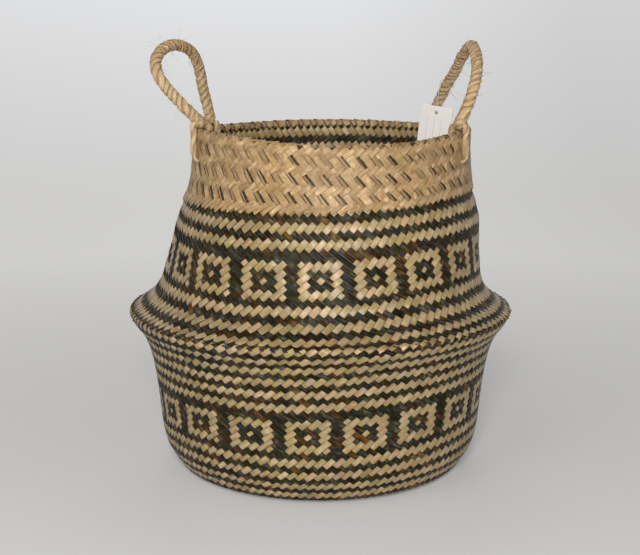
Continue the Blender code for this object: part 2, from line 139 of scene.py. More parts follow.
# Feet of the handles on the rim, in degrees round the neck: foot, its partner
FEET = {
    "left_front": (201.0, 157.0),
    "left_rear": (157.0, 201.0),
    "right_front": (-26.0, 39.0),
    "right_rear": (39.0, -26.0),
}
LEFT_ROUTE = (
    (-0.0955, -0.0402, 0.2929), (-0.1100, -0.0446, 0.3082), (-0.1221, -0.0465, 0.3222),
    (-0.1292, -0.0423, 0.3340), (-0.1295, -0.0286, 0.3458), (-0.1196, -0.0089, 0.3530),
    (-0.1077, 0.0167, 0.3473), (-0.1021, 0.0318, 0.3326), (-0.0996, 0.0384, 0.3148),
    (-0.0965, 0.0425, 0.3001), (-0.0941, 0.0439, 0.2880),
)
RIGHT_ROUTE = (
    (0.1102, -0.0492, 0.2926), (0.1142, -0.0520, 0.3023), (0.1184, -0.0522, 0.3132),
    (0.1221, -0.0477, 0.3244), (0.1250, -0.0358, 0.3383), (0.1236, -0.0079, 0.3521),
    (0.1191, 0.0216, 0.3430), (0.1152, 0.0400, 0.3301), (0.1093, 0.0546, 0.3168),
    (0.1033, 0.0648, 0.3019), (0.0966, 0.0707, 0.2872),
)
# Hook of a strand through the wall: radius, height
HOOK_ROUTE = (
    (0.1180, 0.2805), (0.1180, 0.2720), (0.1183, 0.2640), (0.1176, 0.2597), (0.1147, 0.2577),
    (0.1108, 0.2597), (0.1080, 0.2640), (0.1060, 0.2720), (0.1057, 0.2805),
)
# Ends of a strand beside the foot: out from its ball and up, the first two outside the wall
STRAND_TOPS = ((0.0028, 0.0022), (0.0056, -0.0020), (-0.0050, -0.0016))
# Radius of the middle of the fold over the rim
FOLD_MIDDLE = 0.1123
LASHING_SWEEP = 0.0048
LASHING_ENDS = (0.270, 0.2745)
LASHING_TURN = 4.3367

TAG_HOLE = Vector((0.0984, 0.0341, 0.29475))
TAG_ACROSS = Vector((0.93269, -0.33947, -0.12187))
TAG_FRONT = Vector((-0.34202, -0.93969, 0.0))
TAG_UP = Vector((0.11452, -0.04168, 0.99255))
# Lower left and upper right corner of the card from its hinge, and how far its hole is aside
CARD_CORNERS = ((-0.013, -0.0362), (0.0146, 0.0058))
CARD_HOLE_ACROSS = 0.0008
THREAD_END_TOP = 0.295
STRING_ROUTE = (
    (0.09867, 0.03368, 0.29471), (0.09887, 0.03425, 0.29471), (0.09918, 0.03509, 0.29471),
    (0.11434, 0.05338, 0.31365), (0.11507, 0.05615, 0.31577), (0.11383, 0.05838, 0.31826),
    (0.11103, 0.05932, 0.32026), (0.10763, 0.05863, 0.32109), (0.10479, 0.05656, 0.32046),
    (0.10349, 0.05381, 0.3186), (0.09843, 0.03536, 0.2948), (0.09813, 0.03452, 0.2948),
    (0.09792, 0.03395, 0.2948),
)

FLOOR_RADIUS = 1.6
COVE_RADIUS = 0.8
WALL_TOP = 2.6
FLOOR_DROP = 0.0002
LAMP_AIM = (0.0, 0.0, 0.17)
CAMERA_PLACE = (0.0, -1.133, 0.390)
CAMERA_TILT = 11.55
CAMERA_LENS = 76.84


def screen(red, green, blue):
    """A colour picked as 0 to 255 on screen, as the linear values that a shader takes."""
    shares = [part / 255.0 for part in (red, green, blue)]
    return tuple(s / 12.92 if s <= 0.04045 else ((s + 0.055) / 1.055) ** 2.4 for s in shares)


def colour(name, description, *value):
    """Colour property, with its default picked as 0 to 255 on screen."""
    return FloatVectorProperty(
        name=name, description=description, default=screen(*value), subtype="COLOR", min=0, max=1
    )


def length(name, description, value):
    """Length property in metres."""
    return FloatProperty(
        name=name, description=description, default=value, unit="LENGTH", precision=5
    )


def number(name, description, value):
    """Property that is a plain number of zero or more."""
    kind = IntProperty if isinstance(value, int) else FloatProperty
    return kind(name=name, description=description, default=value, min=0)


class WeaveSettings(bpy.types.PropertyGroup):
    """Strips of the body, the cuff and the base."""

    strips: number("Strips", "Strips each way round the body", 114)
    width: length("Strip width", "Width of one strip of the body", 0.0047)
    thickness: length("Strip thickness", "Thickness of one strip", 0.00072)
    slot: length("Cuff slot", "Gap beside the cuff's leaning strips", 0.0008)
    unevenness: number("Unevenness", "How far strips differ in width", 0.11)
    straw: colour("Straw", "Natural strips", 158, 135, 87)
    pale: colour("Pale straw", "Palest natural strips", 176, 153, 120)
    olive: colour("Olive straw", "Greenest natural strips", 140, 124, 74)
    dark: colour("Dark", "Dyed strips", 35, 25, 10)
    slate: colour("Slate", "Bluest dyed strips", 50, 55, 56)
    rust: colour("Rust", "Strips that took little dye", 104, 64, 26)


class RopeSettings(bpy.types.PropertyGroup):
    """Handles and the strands that hold them."""

    radius: length("Rope radius", "Radius of the handle rope", 0.0048)
    yarns: number("Yarns", "Yarns wound round the rope", 3)
    pitch: length("Rope pitch", "Length of one turn of a yarn", 0.0185)
    strand_radius: length("Strand radius", "Radius of the strands under the feet", 0.0027)
    lashing_radius: length("Lashing radius", "Radius of the lashings over the rim", 0.0011)
    strays: number("Stray fibres", "Loose fibres on each handle", 34)
    colour: colour("Rope colour", "Main colour of the rope", 180, 150, 108)
    # Pale fibre is the colour of the painted highlight on the crests of the yarns
    pale: colour("Pale fibre", "Fibres that catch the light", 228, 206, 166)


class TagSettings(bpy.types.PropertyGroup):
    """Card tag and its thread."""

    card: colour("Card", "Colour of the card", 238, 234, 233)
    ruling: colour("Ruling", "Colour of the ruled lines", 150, 148, 152)
    corner: length("Card corner", "Radius of the card's corners", 0.0006)
    hole: length("Hole", "Radius of the hole in the card", 0.0013)
    thickness: length("Card thickness", "Thickness of the card", 0.0006)
    thread_radius: length("Thread radius", "Radius of the nylon thread", 0.0003)


class StageSettings(bpy.types.PropertyGroup):
    """Floor, lamps and camera."""

    floor: colour("Floor", "Colour of the floor and the backdrop", 228, 229, 231)
    key_power: number("Key lamp", "Power of the main lamp in watts", 13.7)
    sky: number("Sky", "Strength of the even light", 0.15)


def settings(name):
    """One group of the scene's settings."""
    return getattr(bpy.context.scene, "basket_" + name)


def ease(share):
    """Smooth step from 0 to 1, for numbers and arrays."""
    share = np.clip(share, 0.0, 1.0)
    return share * share * (3.0 - 2.0 * share)


def smooth_value(pairs, place):
    """Monotone cubic curve through (place, value) pairs."""
    place = min(max(place, pairs[0][0]), pairs[-1][0])
    slopes = [(b[1] - a[1]) / (b[0] - a[0]) for a, b in zip(pairs, pairs[1:])]
    tangents = [slopes[0]]
    for before, after in zip(slopes, slopes[1:]):
        same_way = before * after > 0.0
        tangents.append(2.0 * before * after / (before + after) if same_way else 0.0)
    tangents.append(slopes[-1])
    index = 0
    while index < len(pairs) - 2 and place > pairs[index + 1][0]:
        index += 1
    (place_a, value_a), (place_b, value_b) = pairs[index], pairs[index + 1]
    width = place_b - place_a
    t = (place - place_a) / width
    return (
        value_a * (2.0 * t**3 - 3.0 * t**2 + 1.0)
        + tangents[index] * width * (t**3 - 2.0 * t**2 + t)
        + value_b * (3.0 * t**2 - 2.0 * t**3)
        + tangents[index + 1] * width * (t**3 - t**2)
    )


def measured_outline():
    """The outline every 0.1 mm of its length: length, radius, height and outward normal."""
    turn_in = 0.01
    low_part = np.linspace(0.0, turn_in, 300)[:-1]
    heights = np.concatenate([low_part, np.linspace(turn_in, BODY_HEIGHT, 1500)])
    radii = np.array([smooth_value(OUTLINE, h) for h in heights])
    run = np.concatenate([[0.0], np.cumsum(np.hypot(np.diff(radii), np.diff(heights)))])
    way = np.linspace(0.0, run[-1], int(run[-1] / 0.0001))
    radius = np.interp(way, run, radii)
    height = np.interp(way, run, heights)
    reach = 5
    low = np.clip(np.arange(len(way)) - reach, 0, None)
    high = np.clip(np.arange(len(way)) + reach, None, len(way) - 1)
    out = height[high] - height[low]
    up = radius[low] - radius[high]
    size = np.hypot(out, up)
    return way, radius, height, out / size, up / size


WAY, RADIUS, HEIGHT, NORMAL_OUT, NORMAL_UP = measured_outline()
ROW_SPOTS = np.arange(TOP_ROW, LAST_ROW + 0.05, 0.1)
ROW_WAYS = np.array([smooth_value(ROWS, spot) for spot in ROW_SPOTS])
ROW_SIZES = -np.gradient(ROW_WAYS, ROW_SPOTS)
SLIP_SLOPES = np.gradient(np.interp(ROW_SPOTS, *zip(*ROW_SLIPS)), ROW_SPOTS)


def wall(way):
    """Radius, height and outward normal of the outline at a way up the wall."""
    return [np.interp(way, WAY, part) for part in (RADIUS, HEIGHT, NORMAL_OUT, NORMAL_UP)]


def place(radius, angle, height):
    """World positions of points of the round body, with its lean and the rises of its rim."""
    lean = NECK_LEAN * ease((height - FOLD_HEIGHT) / (LEAN_TOP - FOLD_HEIGHT))
    rise = 0.0
    for middle, width, most in RIM_RISES:
        away = (np.degrees(angle) - middle + 180.0) % 360.0 - 180.0
        rise = rise + most * np.exp(-((away / width) ** 2))
    rise = rise * ease((height - BODY_HEIGHT + SADDLE_DEPTH) / SADDLE_DEPTH)
    return np.stack([radius * np.cos(angle) + lean, radius * np.sin(angle), height + rise], -1)


def facing(angle, out, up):
    """Outward directions of the round body."""
    return np.stack([out * np.cos(angle), out * np.sin(angle), up], -1)


def row_way(row, angle):
    """How far up the wall a row lies in a direction."""
    table = np.array(ROW_WAVES)
    parts = [np.interp(row, table[:, 0], part) for part in table[:, 1:].T]
    way = np.interp(row, ROW_SPOTS, ROW_WAYS) + parts[0]
    for turns in (1, 2, 3):
        way = way + parts[2 * turns - 1] * np.cos(turns * angle)
        way = way + parts[2 * turns] * np.sin(turns * angle)
    return way


def spread_out(angle, row):
    """Directions of the strips, closer and wider round the neck, half as much at the bottom."""
    shift = np.interp(np.degrees(angle) % 360.0, *zip(*SPREADS))
    return angle + np.radians(shift) * (1.0 - 0.5 * np.clip(row / LOWER_SQUARES[0], 0.0, 1.0))


def natural_on_top(row, step):
    """Whether the natural strip shows outside where two strips cross."""
    for middle_row, middle_step in (UPPER_SQUARES, LOWER_SQUARES):
        if abs(row - middle_row) <= 4:
            half = SQUARE_PERIOD // 2
            beside = (step - middle_step + half) % SQUARE_PERIOD - half
            ring = max(abs(row - middle_row), abs(beside))
            return ring == 0 or 3 <= ring <= 4
    return row % 4 in (0, 3) and row not in PLAIN_DARK_ROWS


class Field:
    """Output of a node. Sums and products of it become Math nodes."""

    def __init__(self, socket):
        self.socket = socket
        self.tree = socket.id_data

    def maths(self, operation, *others):
        """Math node on this value and the others."""
        values = dict(enumerate((self, *others)))
        return out(self.tree, "ShaderNodeMath", values, operation=operation)

    def vector(self, operation, inputs, output=0):
        """Vector Math node on this vector and the inputs."""
        values = {0: self, **inputs}
        return out(self.tree, "ShaderNodeVectorMath", values, output, operation=operation)

    def rescaled(self, low, high, new_low=0.0, new_high=1.0):
        """This value moved from one range to another, and held inside it."""
        values = dict(enumerate((self, low, high, new_low, new_high)))
        return out(self.tree, "ShaderNodeMapRange", values)

    def parts(self):
        """The X, Y and Z of this vector."""
        return map(Field, add_node(self.tree, "ShaderNodeSeparateXYZ", {0: self}).outputs)

    def __add__(self, other):
        return self.maths("ADD", other)

    def __sub__(self, other):
        return self.maths("SUBTRACT", other)

    def __rsub__(self, other):
        return out(self.tree, "ShaderNodeMath", {0: other, 1: self}, operation="SUBTRACT")

    def __mul__(self, other):
        return self.maths("MULTIPLY", other)

    def __truediv__(self, other):
        return self.maths("DIVIDE", other)

    def __abs__(self):
        return self.maths("ABSOLUTE")


def add_node(tree, kind, inputs=None, **options):
    """A node with its options set, and its inputs linked or filled in."""
    node = tree.nodes.new(kind)
    for key, value in options.items():
        setattr(node, key, value)
    for key, value in (inputs or {}).items():
        if isinstance(value, Field):
            tree.links.new(value.socket, node.inputs[key])
        else:
            node.inputs[key].default_value = value
    return node


def out(tree, kind, inputs=None, output=0, **options):
    """One output of a new node."""
    return Field(add_node(tree, kind, inputs, **options).outputs[output])


def vector_of(tree, x, y, z=0.0):
    """Vector of three values."""
    return out(tree, "ShaderNodeCombineXYZ", {0: x, 1: y, 2: z})


def noise(spot, scale, detail=2.0, roughness=0.5):
    """Smooth noise from 0 to 1."""
    values = {"Vector": spot, "Scale": scale, "Detail": detail, "Roughness": roughness}
    return out(spot.tree, "ShaderNodeTexNoise", values, "Fac")


def start_tree(name, sockets):
    """Geometry Nodes tree, and what its named inputs give."""
    tree = bpy.data.node_groups.new(name, "GeometryNodeTree")
    ends = tree.interface
    ends.new_socket("Geometry", in_out="INPUT", socket_type="NodeSocketGeometry")
    ends.new_socket("Geometry", in_out="OUTPUT", socket_type="NodeSocketGeometry")
    for label, kind, value in sockets:
        socket = ends.new_socket(label, in_out="INPUT", socket_type="NodeSocket" + kind)
        if value is not None:
            socket.default_value = value
    outputs = tree.nodes.new("NodeGroupInput").outputs
    return tree, {socket.name: Field(socket) for socket in outputs}


def end_tree(tree, geometry, material):
    """Smooth faces with crisp corners, real geometry and the material at the end of a tree."""
    smooth = out(tree, "GeometryNodeSetShadeSmooth", {"Geometry": geometry})
    bend = out(tree, "GeometryNodeInputMeshEdgeAngle")
    corners = bend.maths("GREATER_THAN", math.radians(38.0))
    values = {"Geometry": smooth, "Selection": corners, "Shade Smooth": False}
    crisp = out(tree, "GeometryNodeSetShadeSmooth", values, domain="EDGE")
    real = out(tree, "GeometryNodeRealizeInstances", {"Geometry": crisp})
    dressed = out(tree, "GeometryNodeSetMaterial", {"Geometry": real, "Material": material})
    tree.links.new(dressed.socket, tree.nodes.new("NodeGroupOutput").inputs[0])


def stored(geometry, name, value, kind="FLOAT"):
    """Geometry with a value kept on its points under a name."""
    values = {"Geometry": geometry, "Name": name, "Value": value}
    return out(
        geometry.tree, "GeometryNodeStoreNamedAttribute", values, data_type=kind, domain="POINT"
    )


def named(tree, name, kind="FLOAT"):
    """Field that reads a named value."""
    return out(tree, "GeometryNodeInputNamedAttribute", {"Name": name}, data_type=kind)


def moved(geometry, key, value):
    """Geometry with the Position or the Offset of its points given."""
    return out(geometry.tree, "GeometryNodeSetPosition", {"Geometry": geometry, key: value})


def swept(curve, profile):
    """Closed solid that a profile leaves along a curve, as wide as the curve's shares say."""
    values = {"Curve": curve, "Profile Curve": profile, "Fill Caps": True}
    values["Scale"] = named(curve.tree, "share")
    return out(curve.tree, "GeometryNodeCurveToMesh", values)


def squared(value, fullness):
    """Value between -1 and 1 pushed out towards the ends, to square a round section."""
    return value * (fullness - abs(value) * (fullness - 1.0))


def strip_tree():
    """Tree that turns lines into flat woven strips, crowned across."""
    sizes = (("Width", "Float", 0.0043), ("Thickness", "Float", 0.0007))
    tree, given = start_tree("woven strips", (*sizes, ("Material", "Material", None)))
    line = out(tree, "GeometryNodeMeshToCurve", {"Mesh": given["Geometry"]})
    normal = {"Curve": line, "Normal": named(tree, "facing", "FLOAT_VECTOR")}
    turned = out(tree, "GeometryNodeSetCurveNormal", normal, mode="FREE")
    run = out(tree, "GeometryNodeSplineParameter", output="Length")
    ring = out(tree, "GeometryNodeCurvePrimitiveCircle", {"Resolution": 8, "Radius": 1.0})
    x, y, _ = out(tree, "GeometryNodeInputPosition").parts()
    thick, wide = squared(x, 1.69), squared(y, 1.84)
    section = vector_of(tree, thick * (given["Thickness"] * 0.5), wide * (given["Width"] * 0.5))
    ring = stored(stored(ring, "across", wide), "side", thick)
    solid = swept(stored(turned, "along", run), moved(ring, "Position", section))
    end_tree(tree, solid, given["Material"])
    return tree


def rope_tree():
    """Tree that turns lines into rope of yarns wound round it."""
    tree, given = start_tree(
        "wound rope",
        (
            ("Radius", "Float", 0.0048),
            ("Yarns", "Int", 3),
            ("Pitch", "Float", 0.02),
            ("Groove", "Float", 0.2),
            ("Fuzz", "Float", 0.0),
            ("Material", "Material", None),
        ),
    )
    line = out(tree, "GeometryNodeMeshToCurve", {"Mesh": given["Geometry"]})
    run = out(tree, "GeometryNodeSplineParameter", output="Length")
    spot = out(tree, "GeometryNodeInputPosition")
    turns = run / given["Pitch"] + (noise(spot, 70.0) - 0.5) * 0.8
    twist = {"Curve": line, "Tilt": turns * (2.0 * math.pi)}
    twisted = out(tree, "GeometryNodeSetCurveTilt", twist)
    fineness = {"Resolution": given["Yarns"] * 14, "Radius": 1.0}
    ring = out(tree, "GeometryNodeCurvePrimitiveCircle", fineness)
    x, y, _ = spot.parts()
    half_turns = y.maths("ARCTAN2", x) * (given["Yarns"] * 0.5)
    crest = abs(half_turns.maths("COSINE"))
    fine = abs((half_turns * 3.0 + 0.7).maths("COSINE")) * 0.22
    depth = (1.22 - (crest + fine)) * given["Groove"]
    grown = spot.vector("SCALE", {"Scale": (1.0 - depth) * given["Radius"]})
    ring = stored(stored(ring, "around", spot, "FLOAT_VECTOR"), "crest", crest)
    solid = swept(stored(twisted, "along", run), moved(ring, "Position", grown))
    normal = out(tree, "GeometryNodeInputNormal")
    push = normal.vector("SCALE", {"Scale": (noise(spot, 260.0) - 0.5) * given["Fuzz"]})
    end_tree(tree, moved(solid, "Offset", push), given["Material"])
    return tree


def plain_mesh(holder):
    """Mesh that an object's curve or modifiers make. The object itself goes."""
    bpy.context.collection.objects.link(holder)
    bpy.context.view_layer.update()
    shape = holder.evaluated_get(bpy.context.evaluated_depsgraph_get())
    mesh = bpy.data.meshes.new_from_object(shape)
    bpy.data.objects.remove(holder, do_unlink=True)
    return mesh


def add_piece(name, mesh, material=None):
    """Object of a finished mesh, with the material where the mesh has none yet."""
    if material:
        mesh.materials.clear()
        mesh.materials.append(material)
    piece = bpy.data.objects.new(name, mesh)
    bpy.context.collection.objects.link(piece)
    return piece


def grown_piece(name, runs, tree, values):
    """Plain mesh object that a tree grows from runs of lines."""
    helper = bpy.data.objects.new(name + "_lines", line_mesh(name + "_lines", runs))
    modifier = helper.modifiers.new("grow", "NODES")
    modifier.node_group = tree
    for item in tree.interface.items_tree:
        if item.in_out == "INPUT" and item.name in values:
            modifier[item.identifier] = values[item.name]
    mesh = plain_mesh(helper)
    mesh.name = name
    return add_piece(name, mesh)


def strip_piece(name, runs, tree, material):
    """Piece of woven strips."""
    weave = settings("weave")
    values = {"Width": weave.width, "Thickness": weave.thickness, "Material": material}
    return grown_piece(name, runs, tree, values)


def rope_piece(name, runs, tree, material, radius, yarns=2, pitch=1.0, groove=0.0, fuzz=0.0):
    """Piece of rope, or of thread and fibres where it has no groove and no fuzz."""
    values = {"Radius": radius, "Yarns": yarns, "Pitch": pitch, "Groove": groove, "Fuzz": fuzz}
    return grown_piece(name, runs, tree, {**values, "Material": material})


def line_mesh(name, runs):
    """Mesh of open lines. Each run holds points, facings, shares, strip number and levels."""
    mesh = bpy.data.meshes.new(name)
    places, facings, shares, numbers, levels = zip(*runs)
    ends = np.cumsum([len(points) for points in places])
    starts = np.setdiff1d(np.arange(ends[-1]), ends - 1)
    mesh.vertices.add(ends[-1])
    mesh.vertices.foreach_set("co", np.concatenate(places).astype(np.float32).ravel())
    mesh.edges.add(len(starts))
    edges = np.stack([starts, starts + 1], -1)
    mesh.edges.foreach_set("vertices", edges.astype(np.int32).ravel())
    for key, values in (
        ("facing", facings),
        ("share", shares),
        ("strip", [np.full(len(points), n) for points, n in zip(places, numbers)]),
        ("level", levels),
        ("tone", [float_tones(n, part) for n, part in zip(numbers, levels)]),
    ):
        vectors = key == "facing"
        kept_as = mesh.attributes.new(key, "FLOAT_VECTOR" if vectors else "FLOAT", "POINT")
        flat = np.concatenate(values).astype(np.float32).ravel()
        kept_as.data.foreach_set("vector" if vectors else "value", flat)
    mesh.update()
    return mesh


def float_tones(strip, levels):
    """A tone from 0 to 1 for each stretch of a strip that stays on one side of the weave."""
    stretches = np.cumsum(np.diff(np.sign(levels), prepend=np.sign(levels[0])) != 0.0)
    return np.random.default_rng(int(strip) + 17).random(stretches[-1] + 1)[stretches]


def strip_levels(on_top):
    """How far out a strip lies, in shares of its lift, with two points to a crossing."""
    side = np.where(on_top, 1.0, -1.0)
    before = np.concatenate([side[:1], side[:-1]])
    after = np.concatenate([side[1:], side[-1:]])
    pairs = [np.where(beside == side, 1.12, 0.82) * side for beside in (before, after)]
    return np.stack(pairs, -1).ravel()


def lone_tops(on_top):
    """Where a strip comes up for one crossing only."""
    around = np.concatenate([[False], on_top, [False]])
    return on_top & ~around[:-2] & ~around[2:]


def wobble(angle, row, seed):
    """Small uneven shift of a hand-made weave, smooth over the wall and closed round it."""
    return (
        np.sin(3.0 * angle + 0.11 * row + seed)
        + 0.8 * np.sin(5.0 * angle - 0.07 * row + 2.3 * seed)
        + 0.5 * np.sin(9.0 * angle + 0.31 * row + 4.1 * seed)
    )


def strip_spread(seed, pairing=0.0, loose=1.0):
    """Middle and width of every strip one way, in shares of the mean, wide and narrow in turn."""
    weave = settings("weave")
    dice = random.Random(seed)
    borders = []
    for i in range(weave.strips):
        turn = -pairing if i % 2 == 0 else pairing
        borders.append(i - 0.5 + turn + dice.uniform(-1.0, 1.0) * weave.unevenness * loose)
    borders = np.array(borders + [borders[0] + weave.strips])
    return (borders[1:] + borders[:-1]) / 2.0, borders[1:] - borders[:-1]


def leaned(points, facings, lean):
    """Facings turned about the strip, so that its upper edge lies over its neighbour's."""
    along = np.gradient(points, axis=0)
    along = along / np.linalg.norm(along, axis=1, keepdims=True)
    return facings + lean * np.cross(along, facings)


def crossed(strip, way_round, rows, own, others):
    """Own width, and the row and the step round of two points at each crossing of a strip."""
    count = len(own[0])
    partners = strip + way_round * rows
    middles = others[0][partners % count] + count * (partners // count)
    reach = others[1][partners % count] * FLAT_SHARE
    spots = np.stack([middles - way_round * reach, middles + way_round * reach], -1).ravel()
    middle = own[0][strip]
    return own[1][strip], way_round * (spots - middle), spots + middle


def strip_spacing(step_size, row_size, slope):
    """Distance from strip to strip across them, where they lean by the slope."""
    return 2.0 * step_size * row_size / np.hypot(step_size * slope, row_size)


def body_strip(strip, way_round, own, others):
    """One strip of the body from the rim to the base: way_round is 1 for dark, -1 for natural."""
    weave = settings("weave")
    rows = np.arange(TOP_ROW, LAST_ROW + 1)
    crossings = 2 * strip + way_round * rows
    natural = np.array([natural_on_top(int(k), int(u)) for k, u in zip(rows, crossings)])
    lone = np.repeat(lone_tops(natural) & (way_round < 0), 2)
    levels = strip_levels(natural if way_round < 0 else ~natural) * np.where(lone, 0.5, 1.0)
    width, spots, steps = crossed(strip, way_round, rows, own, others)
    spots[0] = TOP_ROW
    spots[-1] = LAST_ROW
    slip = np.interp(spots, *zip(*ROW_SLIPS))
    slope = 1.0 + way_round * np.interp(spots, ROW_SPOTS, SLIP_SLOPES)
    angle = math.radians(FIRST_SQUARE_ANGLE) + (steps + slip) * math.pi / weave.strips
    angle = spread_out(angle + 0.0012 * wobble(angle, spots, 1.0), spots)
    fade = ease((spots - TOP_ROW) / 6.0) * ease((LAST_ROW - spots) / 6.0)
    way = row_way(spots, angle) + 0.00035 * wobble(angle, spots, 2.0) * fade
    way = np.minimum(way, np.interp(BODY_STRIP_TOP, HEIGHT, WAY))
    radius, height, out_way, up = wall(way)
    offset = levels * BODY_LIFT - WEAVE / 2.0
    points = place(radius + out_way * offset, angle, height + up * offset)
    points[:, 2] = np.maximum(points[:, 2], BODY_STRIP_BOTTOM)
    row_size = np.interp(spots, ROW_SPOTS, ROW_SIZES)
    spacing = strip_spacing(radius * math.pi / weave.strips, row_size, slope)
    fill = 1.05 if way_round < 0 else 0.99
    shares = np.clip(spacing / weave.width, 0.75, 1.2) * width * fill * np.where(lone, 0.8, 1.0)
    lean = 0.05 + 0.04 * math.sin(2.4 * strip)
    return points, leaned(points, facing(angle, out_way, up), lean), shares, float(strip), levels


def cuff_strip(strip, way_round, own, others):
    """One strip of the cuff from inside the rim, over the fold and down to its lower edge."""
    weave = settings("weave")
    narrow = strip % 2 == 1
    rows = np.arange(0, CUFF_ROWS if way_round < 0 else CUFF_ROWS - 1)
    squares = np.isin((rows - CUFF_FIRST_SQUARES) % 5, (0, 1))
    levels = strip_levels(squares if way_round < 0 else ~squares)
    if way_round > 0 and narrow:
        levels = np.where(levels > 0.0, levels * 0.55, levels)
    width, spots, steps = crossed(strip, way_round, rows, own, others)
    spots = spots + 0.5
    spots[0] = 0.0
    slipped = steps + CUFF_SLIP * (spots - CUFF_ROWS)
    angle = math.radians(FIRST_SQUARE_ANGLE) + slipped * math.pi / weave.strips
    angle = angle + 0.0016 * wobble(angle, spots, 3.0)

    # The way runs up the lip inside, half round the fold, and down outside
    turn_radius = WEAVE + GAP
    lip = CROWN_HEIGHT - LIP_BOTTOM
    turn = math.pi * turn_radius
    total = lip + turn + CROWN_HEIGHT - (CUFF_BOTTOM + CUFF_SLANT * np.cos(angle))
    fade = ease(spots / 4.0) * ease((CUFF_ROWS - spots) / 3.0)
    way = total * spots / CUFF_ROWS + 0.0005 * wobble(angle, spots, 4.0) * fade
    bend = math.pi * (1.0 - np.clip((way - lip) / turn, 0.0, 1.0))
    outside = way > lip + turn
    folded = np.where(way < lip, LIP_BOTTOM + way, CROWN_HEIGHT + turn_radius * np.sin(bend))
    height = np.where(outside, CROWN_HEIGHT - (way - lip - turn), folded)
    radius, _, out_way, up = wall(np.interp(height, HEIGHT, WAY))
    skin = GAP + WEAVE / 2.0
    out_way = np.where(outside, out_way, np.cos(bend))
    up = np.where(outside, up, np.sin(bend))
    radius = np.where(
        outside, radius + out_way * skin, FOLD_MIDDLE + turn_radius * np.cos(bend)
    )
    height = np.where(outside, height + up * skin, height)

    step_size = FOLD_MIDDLE * math.pi / weave.strips
    spacing = strip_spacing(step_size, total / CUFF_ROWS, 1.0 + way_round * CUFF_SLIP)
    if way_round < 0:
        shares = width * 1.12 * spacing / weave.width
    else:
        gaps = weave.slot * np.maximum(3.4 * float_tones(strip + 400, levels) - 0.5, 0.1)
        slot = gaps * ease((spots - 3.5) / 1.5) * (1.0 if narrow else 0.15)
        shares = (width * spacing - slot) / weave.width
        angle = angle - 0.5 * slot / FOLD_MIDDLE
    offset = levels * CUFF_LIFT
    points = place(radius + out_way * offset, angle, height + up * offset)
    lean = 0.08 if way_round < 0 else 0.03
    return points, leaned(points, facing(angle, out_way, up), lean), shares, float(strip), levels


def base_strip(strip, turned, dice):
    """One straight strip of the flat base, which crosses the others over two and under two."""
    side = strip * BASE_SPACING
    half = math.sqrt(max(BASE_RADIUS**2 - side**2, 0.0)) - 0.0004
    crossings = np.arange(-int(half / BASE_SPACING), int(half / BASE_SPACING) + 1)
    levels = strip_levels((crossings + strip + (2 if turned else 0)) % 4 < 2)
    spots = (crossings[:, None] + np.array([-FLAT_SHARE, FLAT_SHARE])) * BASE_SPACING
    spots = np.clip(spots.ravel(), -half, half)
    spots[0], spots[-1] = -half, half
    flat = np.full(len(spots), side + dice.uniform(-0.0001, 0.0001))
    height = WEAVE / 2.0 + GAP + levels * BASE_LIFT
    points = np.stack([flat, spots, height] if turned else [spots, flat, height], -1)
    facings = np.tile([0.0, 0.0, 1.0], (len(spots), 1))
    shares = np.full(len(spots), dice.uniform(0.92, 0.97))
    return points, facings, shares, float(strip + BASE_STRIPS), levels


def smooth_route(stops, step):
    """Points about one step apart on a smooth curve through the stops."""
    stops = [Vector(stop) for stop in stops]
    ends = [2.0 * stops[0] - stops[1]] + stops + [2.0 * stops[-1] - stops[-2]]
    points = []
    for p0, p1, p2, p3 in zip(ends, ends[1:], ends[2:], ends[3:]):
        count = max(1, round((p2 - p1).length / step))
        for i in range(count):
            t = i / count
            bend = (2.0 * p0 - 5.0 * p1 + 4.0 * p2 - p3) * t**2
            twist = (3.0 * (p1 - p2) + p3 - p0) * t**3
            points.append(0.5 * (2.0 * p1 + (p2 - p0) * t + bend + twist))
    points.append(stops[-1].copy())
    return points


def rope_run(points, strip, shares=None):
    """Run of a rope line for line_mesh, of full width where no shares are given."""
    places = np.array([tuple(p) for p in points])
    facings = np.tile([0.0, 0.0, 1.0], (len(places), 1))
    shares = np.ones(len(places)) if shares is None else np.array(shares)
    return places, facings, shares, float(strip), np.zeros(len(places))


def round_ended(points, radius):
    """Points and shares of a rope whose ends are half balls about its first and last point."""
    first, last = points[0], points[-1]
    first_way = (first - points[1]).normalized()
    last_way = (last - points[-2]).normalized()
    points = list(points)
    shares = [1.0] * len(points)
    for turn in map(math.radians, (20.0, 38.0, 54.0, 68.0, 79.0, 86.0)):
        back = radius * math.sin(turn)
        points = [first + first_way * back, *points, last + last_way * back]
        shares = [math.cos(turn), *shares, math.cos(turn)]
    return points, shares


def coil_points(centre, axis, side, reach, rise, turns, dice):
    """Points of a slightly uneven coil round an axis, which starts to one side."""
    across = axis.cross(side).normalized()
    points = []
    count = int(turns * 26)
    for i in range(count + 1):
        turn = 2.0 * math.pi * turns * i / count
        spread = reach * (1.0 + 0.05 * math.sin(2.3 * turn + dice.uniform(0.0, 0.3)))
        points.append(
            centre
            + side * (spread * math.cos(turn))
            + across * (spread * math.sin(turn))
            + axis * (rise * i / count + 0.0004 * math.sin(1.7 * turn))
        )
    return points


